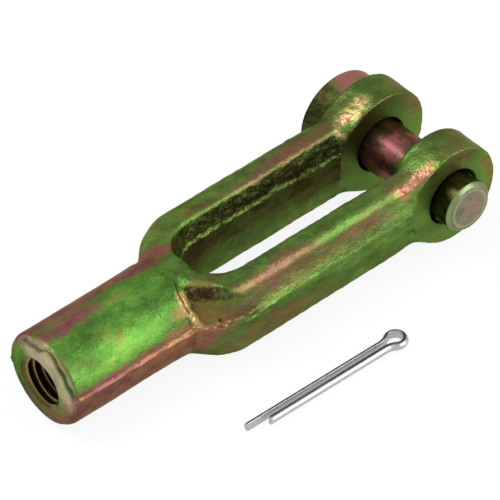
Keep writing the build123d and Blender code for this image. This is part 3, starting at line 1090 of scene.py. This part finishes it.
class Finish:
    """A material and the nodes that make it."""

    def __init__(self, name):
        self.material = bpy.data.materials.new(name)
        self.material.use_nodes = True
        self.tree = self.material.node_tree
        self.tree.nodes.clear()

    def node(self, kind, settings=None, values=None, output=0):
        """Adds a node: first its settings, with a ramp's colours under stops, then the values or
        links of its inputs, by name or number."""
        node = self.tree.nodes.new(kind)
        for key, value in (settings or {}).items():
            if key == "stops":
                ramp = node.color_ramp
                while len(ramp.elements) < len(value):
                    ramp.elements.new(0.5)
                for element, (position, tint) in zip(ramp.elements, value):
                    element.position, element.color = position, (*tint, 1.0)
            else:
                setattr(node, key, value)
        for key, value in (values or {}).items():
            if isinstance(value, Channel):
                self.tree.links.new(value.socket, node.inputs[key])
            else:
                node.inputs[key].default_value = value
        return Channel(self, node.outputs[output])

    def shown(self, surface):
        """Joins the surface's shader to the output."""
        output = self.tree.nodes.new("ShaderNodeOutputMaterial")
        self.tree.links.new(surface.socket, output.inputs["Surface"])
        return self.material


class Plating(Finish):
    """A metal finish that varies over its piece. It has the place on the piece and the three
    coordinates of that place."""

    def __init__(self, name):
        super().__init__(name)
        self.tints = bpy.context.scene.clevis_colours
        self.place = self.node("ShaderNodeTexCoord", output="Object")
        apart = self.node("ShaderNodeSeparateXYZ", values={"Vector": self.place})
        self.x, self.y, self.z = (Channel(self, s) for s in apart.socket.node.outputs)

    def noise(self, size, seed, detail=2.0, roughness=0.6, stretch=None, place=None):
        """Noise from 0 to 1 with features of about the given size in millimetres. A stretch draws
        it out along each axis by one over that axis's number."""
        place = place or self.place
        if stretch:
            multiply = {"operation": "MULTIPLY"}
            place = self.node("ShaderNodeVectorMath", multiply, {0: place, 1: stretch})
        values = {"Vector": place, "W": seed, "Scale": 1 / (size * MM)}
        values.update({"Detail": detail, "Roughness": roughness})
        return self.node("ShaderNodeTexNoise", {"noise_dimensions": "4D"}, values)

    def attribute(self, name):
        """The number that the mesh keeps for each point under a name."""
        return self.node("ShaderNodeAttribute", {"attribute_name": name}, output="Fac")

    def layered(self, colour, *layers):
        """Lays colours over the first, one by one, each as (share from 0 to 1, colour)."""
        for share, over in layers:
            values = {"Factor": share}
            for key, tint in ((6, colour), (7, over)):
                values[key] = tint if isinstance(tint, Channel) else (*tint, 1.0)
            settings = {"data_type": "RGBA", "clamp_factor": True}
            colour = self.node("ShaderNodeMix", settings, values, output=2)
        return colour

    def film(self, phase):
        """The tint of the passivate for a film thickness from 0 to 1."""
        stops = [(position, getattr(self.tints, name)) for position, name in FILM_STOPS]
        return self.node("ShaderNodeValToRGB", {"stops": stops}, {"Fac": phase}, output="Color")

    def done(self, colour, roughness, height, depth, metallic=FILMED, gloss=FILM_GLOSS):
        """Joins the surface's colour, its roughness, its height, as a depth in millimetres, its
        metal and the tint of its gloss to the shader."""
        bump = {"Height": height, "Distance": depth * MM, "Strength": 1.0}
        values = {"Base Color": colour, "Roughness": roughness, "Metallic": metallic}
        values.update({"Specular Tint": gloss, "Normal": self.node("ShaderNodeBump", {}, bump)})
        return self.shown(self.node("ShaderNodeBsdfPrincipled", {}, values))


def patches(across, along, spots):
    """The sum of a soft oval about each place, from 1 in its middle down to 0, times its
    strength."""
    ovals = []
    for at, aside, long, wide, strength in spots:
        first = (along - at * MM) / (long * MM)
        second = (across - aside * MM) / (wide * MM)
        ovals.append((1 - (first * first + second * second).rise(0.0, OVAL_EDGE)) * strength)
    return sum(ovals)


def fork_film(finish, thicker):
    """The film's colour all over the fork, with the two noises that it shares with the rest of a
    finish. Two films are mixed: a mottled one, and a thick one at the spots."""
    cloud = finish.noise(16, 1.0, 2, 0.5, (0.4, 1, 1))
    patch = finish.noise(6, 2.0, 3, 0.55, (0.5, 1, 1))
    mottle = finish.noise(1.8, 3.0, 3, 0.65, (0.7, 1, 1))
    fleck = finish.noise(0.5, 15.0)
    # Two lines across the piece: one up its near flank, one along it, both blurred by the noises.
    across = finish.y * FLANK_Y + finish.z * FLANK_Z + patch.sway(8 * MM) + mottle.sway(3 * MM)
    down = finish.z * FLANK_Y - finish.y * FLANK_Z
    along = finish.x + down * FLANK_LEAN + cloud.sway(20 * MM)
    spots = patches(across, along, FILM_SPOTS)
    phase = 0.27 + cloud.sway(0.9) + patch.sway(0.95) + mottle.sway(0.65)
    phase = phase + thicker + fleck.sway(0.35)
    thick = 0.78 + cloud.sway(0.5) + mottle.sway(0.5)
    dull = 0.07 + finish.x.past(*SHANK_DULLS) * 0.20
    layers = (spots * SPOTS_SHOW, finish.film(thick)), (dull, finish.tints.brass)
    return finish.layered(finish.film(phase), *layers), patch, mottle


def forged_plating():
    """Iridescent green to copper film over rough forged steel, with painted highlights and shade.
    """
    finish = Plating("forged_plating")
    x, y, z, tints = finish.x, finish.y, finish.z, finish.tints
    mark = {name: finish.attribute(name) for name in MARKS}
    ridge, burr, bright, crumple = (mark[name] for name in ("ridge", "burr", "bright", "crumple"))
    names = ("crease", "shelter", "to_end", "to_top")
    crease, shelter, to_end, to_top = (finish.attribute(name) for name in names)
    grain = finish.noise(0.6, 4.0)
    stain = finish.noise(4, 5.0, 4, 0.6, (0.6, 1, 1))
    colour, patch, mottle = fork_film(finish, crumple * 0.34 + ridge * 0.12)
    blur = patch.sway(6 * MM)
    shank = 1 - x.past(*SHANK_TO_ARMS)
    # The shank's end gets a painted pale highlight above and thick film below. The hollow has a
    # dull floor.
    end_face = to_end.rise(0.45, 0.85) * (1 - x.past(*END_FACE_BEFORE))
    upper = (z * 0.85 - y * 0.5 + blur).past(1, 6)
    lower = (0 - z + blur).past(4, 8)
    floor = mark["pocket"] * (1 - bright) * (1 - (x + blur).past(*FLOOR_FADES))
    # Stains, and painted shade on downward faces, the arms' tops, sheltered places and creases.
    root = (1 - x.past(*ROOT_TO_ARMS)) * (1 - shank)
    dark = 0.02 + stain.rise(0.42, 0.75) * 0.35 + grain.rise(0.58, 0.72) * 0.25
    dark = dark + (0 - to_top).rise(-0.25, 0.5) * 0.3 + to_top.rise(0.86, 0.99) * (1 - shank) * 0.2
    dark = dark + shelter.rise(0.2, 0.55) * 0.78 + root * shelter.rise(0.15, 0.4) * 0.3
    dark = dark + crease.rise(0.3, 0.9) * 0.3
    # Painted shade on the slot's upper wall, darker still in flecks.
    dark = dark + mark["ragged"] * (0.56 + grain.rise(0.42, 0.58) * 0.3)
    # The hollow's dark band is darkened, more so in flecks.
    dark = dark + mark["scale"] * (0.70 + grain.rise(0.42, 0.6) * 0.4)
    dark = dark + sum(mark[name] * share for name, share in DARKENING.items())
    colour = finish.layered(
        colour,
        (end_face * upper * 0.75, tints.straw_highlight),
        (end_face * lower * 0.5, tints.rose),
        (floor * (0.45 + mottle * 0.7), tints.bronze),
        # Painted gold highlight on the hollow's steep end.
        (bright * 0.8, tints.gold_highlight),
        (dark, tints.stain_and_shade),
        # Painted copper highlight on the creased fillets beside the eyes.
        (crumple * mottle.rise(0.42, 0.62) * 0.6, tints.copper_highlight),
        # Painted brass glints on the slot's torn edge.
        (burr * grain.rise(0.46, 0.58) * 0.85, tints.brass_glint),
    )
    roughness = 0.31 + shank * 0.04 + mottle * 0.16 + floor * 0.18 - crumple * 0.06
    height = (grain * 0.45 + mottle * 0.55) * (1.8 - shank)
    return finish.done(colour, roughness, height, 0.2)


def machined_plating():
    """The same film over turned and milled faces."""
    finish = Plating("machined_plating")
    from_pin = (finish.x * finish.x + finish.z * finish.z) ** 0.5
    turned = finish.node("ShaderNodeCombineXYZ", {}, {"X": from_pin})
    rings = finish.noise(0.9, 14.0, 1, 0.5, place=turned)
    ahead = finish.x.past(*AHEAD_OF_PIN)
    colour, patch, mottle = fork_film(finish, ahead * 0.25)
    dark = 0.18 + mottle.sway(0.8) + rings.sway(0.3) + patch.sway(0.6)
    # Painted shade on the upper part of the faces, on the shank's side of the pin's axis.
    dark = dark + finish.z.past(0, 9) * (1 - ahead) * 0.30
    colour = finish.layered(colour, (dark, finish.tints.stain_and_shade))
    return finish.done(colour, mottle * 0.12 + 0.34, mottle + rings * 0.4, 0.1)


def thread_plating():
    """Plating inside the tapped hole: a dark base that is painted shade, with gold over it as
    painted glints, most on the crests and near the mouth.
    """
    finish = Plating("thread_plating")
    mottle = finish.noise(4, 8.0, 2, 0.5)
    from_axis = (finish.y * finish.y + finish.z * finish.z) ** 0.5
    crest = 1 - from_axis.past(5.5, 6.0)
    # Less gold deeper in is painted shade. More gold on the crests is painted glints.
    deep = finish.x.past(*MOUTH_TO_DEEP)
    bright = (crest * 0.6 + 0.24) * (1 - deep * 0.8) * (mottle * 1.2 + 0.4)
    colour = finish.layered(finish.tints.thread_shade, (bright, finish.tints.gold))
    return finish.done(colour, mottle * 0.1 + 0.16, mottle, 0.03, BARE, CLEAR_GLOSS)


def pin_plating():
    """Rose to green film over a turned pin, with streaks along it."""
    finish = Plating("pin_plating")
    x, y, z, tints = finish.x, finish.y, finish.z, finish.tints
    cloud = finish.noise(7, 9.0, 2, 0.5)
    streak = finish.noise(1.6, 10.0, 3, 0.6, (1, 0.22, 1))
    speck = finish.noise(0.8, 11.0, 3)
    blot = finish.noise(3.2, 12.0, 3, 0.6, (1, 0.5, 1))
    head, near = y.past(*HEAD_FROM), 1 - y.past(*NEAR_EYE_TO)
    rosy = y.past(*ROSY_FROM) * (1 - head)
    upward = (z * 0.95 + x * 0.30) / HEAD_RADIUS
    top = head * (upward + cloud.sway(0.35)).rise(0.72, 0.98)
    phase = 0.12 - near * 0.08 + (cloud - 0.5) * (0.7 - head * 0.4) + streak.sway(0.3)
    phase = phase + rosy * 0.74 + top * 0.72 + head * 0.10
    dark = 0.30 + blot.rise(0.46, 0.60) * (0.55 - head * 0.35) + speck.rise(0.54, 0.66) * 0.45
    dark = dark - rosy * 0.22 + head * (1 - top) * 0.50 - top * 0.55 + near * 0.22
    # The point: its flat end with a painted highlight ring, and the bevel round it, painted as a
    # highlight.
    point = 1 - y.past(*POINT_TO)
    bevel = (1 - y.past(*BEVEL_TO)) * (1 - point)
    from_axis = (x * x + z * z) ** 0.5
    ring = from_axis.past(*RING_FROM) * (1 - from_axis.past(*RING_TO))
    end = finish.layered(
        tints.point_green,
        (cloud.rise(0.40, 0.60), tints.point_rose),
        (blot.rise(0.5, 0.7) * 0.5, tints.point_dark),
        (ring * 0.7, tints.point_ring_highlight),
    )
    colour = finish.layered(
        finish.film(phase),
        (dark, tints.stain_and_shade),
        (top * 0.85, tints.blush),
        (point * (0.95 - speck.rise(0.55, 0.7) * 0.35), end),
        (bevel * 0.75, tints.point_bevel),
    )
    roughness = 0.26 + streak * 0.12 + point * 0.12
    return finish.done(colour, roughness, streak * (1 - point) + speck * point, 0.03)


def bright_zinc():
    """Clear zinc on drawn wire, with dark streaks, and painted shade where it faces up."""
    finish = Plating("bright_zinc")
    streak = finish.noise(0.6, 9.0, 2, 0.6, (0.06, 1, 1))
    speck = finish.noise(0.5, 16.0, 3, 0.7, (0.3, 1, 1))
    # Painted shade on the faces turned up.
    top_shade = finish.attribute("to_top").rise(0.70, 0.95)
    dark = top_shade * 0.85 + streak.sway(0.5) + speck.sway(0.6) + 0.12
    colour = finish.layered(finish.tints.silver, (dark, finish.tints.streak_and_shade))
    return finish.done(colour, speck * 0.16 + 0.26, streak + speck, 0.04, BARE, CLEAR_GLOSS)


# ------------------------------------------------------------------------ stage
FLOOR_REACH, FLOOR_GAP = 3.0, 0.02 * MM
FLOOR_GREY, FLOOR_GLOW = (0.9, 0.9, 0.9, 1), 0.88
# The soft lights, as (the way to them, distance and size in metres, power in watts).
LIGHTS = {
    "key_light": ((0.444, -0.833, 0.348), 0.9, 0.70, 5.8),
    "back_light": ((-0.30, 0.35, 0.88), 0.9, 0.4, 4.0),
}
LIT_AT = Vector((-0.045, 0, 0))
WORLD_STRENGTH = 0.8
SENSOR_WIDTH = 36


def white_floor():
    """A white floor. Camera and glossy rays see most of it as plain white, the rest takes the
    shadow."""
    finish = Finish("white_floor")
    rays = finish.node("ShaderNodeLightPath").socket.node.outputs
    seen, glossy = (Channel(finish, rays[name]) for name in ("Is Camera Ray", "Is Glossy Ray"))
    white = finish.node("ShaderNodeBsdfDiffuse", {}, {"Color": FLOOR_GREY})
    glow = finish.node("ShaderNodeEmission")
    share = seen.larger(glossy) * FLOOR_GLOW
    return finish.shown(finish.node("ShaderNodeMixShader", {}, {0: share, 1: white, 2: glow}))


def soft_light(name, way, distance, size, power):
    """A square soft light that faces the object from one side."""
    way = Vector(way).normalized()
    lamp = bpy.data.lights.new(name, "AREA")
    lamp.shape, lamp.size, lamp.energy = "SQUARE", size, power
    light = bpy.data.objects.new(name, lamp)
    light.location = LIT_AT + way * distance
    light.rotation_mode = "QUATERNION"
    light.rotation_quaternion = way.to_track_quat("Z", "Y")
    bpy.context.scene.collection.objects.link(light)
    return light


class CLEVIS_OT_stage(bpy.types.Operator):
    """Makes the floor, the light and the camera"""

    bl_idname = "clevis.stage"
    bl_label = "Stage"

    def execute(self, context):
        scene, view = context.scene, context.scene.clevis_stage
        tilt = rest_tilt(scene.clevis_fork_sizes)
        corners = np.array([[-1, -1], [1, -1], [1, 1], [-1, 1]]) * FLOOR_REACH
        height = -EYE_RADIUS / math.cos(tilt) - corners[:, 0] * math.tan(tilt)
        points = np.column_stack([corners, height - FLOOR_GAP])
        floor = new_piece("floor", points, [[0, 1, 2, 3]])
        floor.data.materials.append(white_floor())
        for name, settings in LIGHTS.items():
            soft_light(name, *settings)
        scene.world = bpy.data.worlds.new("studio")
        scene.world.use_nodes = True
        background = scene.world.node_tree.nodes["Background"]
        background.inputs["Color"].default_value = (1, 1, 1, 1)
        background.inputs["Strength"].default_value = WORLD_STRENGTH
        level = math.cos(view.elevation)
        back = Vector(
            (
                math.sin(view.azimuth) * level,
                -math.cos(view.azimuth) * level,
                math.sin(view.elevation),
            )
        )
        lens = bpy.data.cameras.new("camera")
        lens.lens, lens.sensor_width = view.lens, SENSOR_WIDTH
        lens.clip_start, lens.clip_end = 0.01, 20
        camera = bpy.data.objects.new("camera", lens)
        camera.location = Vector(view.target) + back * view.distance
        turn = Matrix.Rotation(view.roll, 4, "Z").to_quaternion()
        camera.rotation_mode = "QUATERNION"
        camera.rotation_quaternion = back.to_track_quat("Z", "Y") @ turn
        scene.collection.objects.link(camera)
        scene.camera = camera
        scene.view_settings.view_transform = "Standard"
        return {"FINISHED"}


# ------------------------------------------------------------------------ panel
class CLEVIS_PT_panel(bpy.types.Panel):
    """Lists the steps that make the clevis rod end"""

    bl_label = "Clevis rod end"
    bl_space_type = "VIEW_3D"
    bl_region_type = "UI"
    bl_category = "Clevis"

    def draw(self, context):
        for step in STEPS:
            self.layout.operator(step.bl_idname)


STEPS = (CLEVIS_OT_fork, CLEVIS_OT_pin, CLEVIS_OT_split_pin, CLEVIS_OT_stage)
SETTINGS = {
    "clevis_fork_sizes": ForkSizes,
    "clevis_pin_sizes": PinSizes,
    "clevis_split_pin_sizes": SplitPinSizes,
    "clevis_colours": PlatingColours,
    "clevis_stage": StageSettings,
}


def register():
    for group in (*SETTINGS.values(), *STEPS, CLEVIS_PT_panel):
        bpy.utils.register_class(group)
    for name, group in SETTINGS.items():
        setattr(bpy.types.Scene, name, PointerProperty(type=group))


def unregister():
    for name in SETTINGS:
        delattr(bpy.types.Scene, name)
    for group in (CLEVIS_PT_panel, *STEPS, *SETTINGS.values()):
        bpy.utils.unregister_class(group)


def main():
    register()
    bpy.ops.clevis.fork()
    bpy.ops.clevis.pin()
    bpy.ops.clevis.split_pin()
    bpy.ops.clevis.stage()


if __name__ == "__main__":
    main()
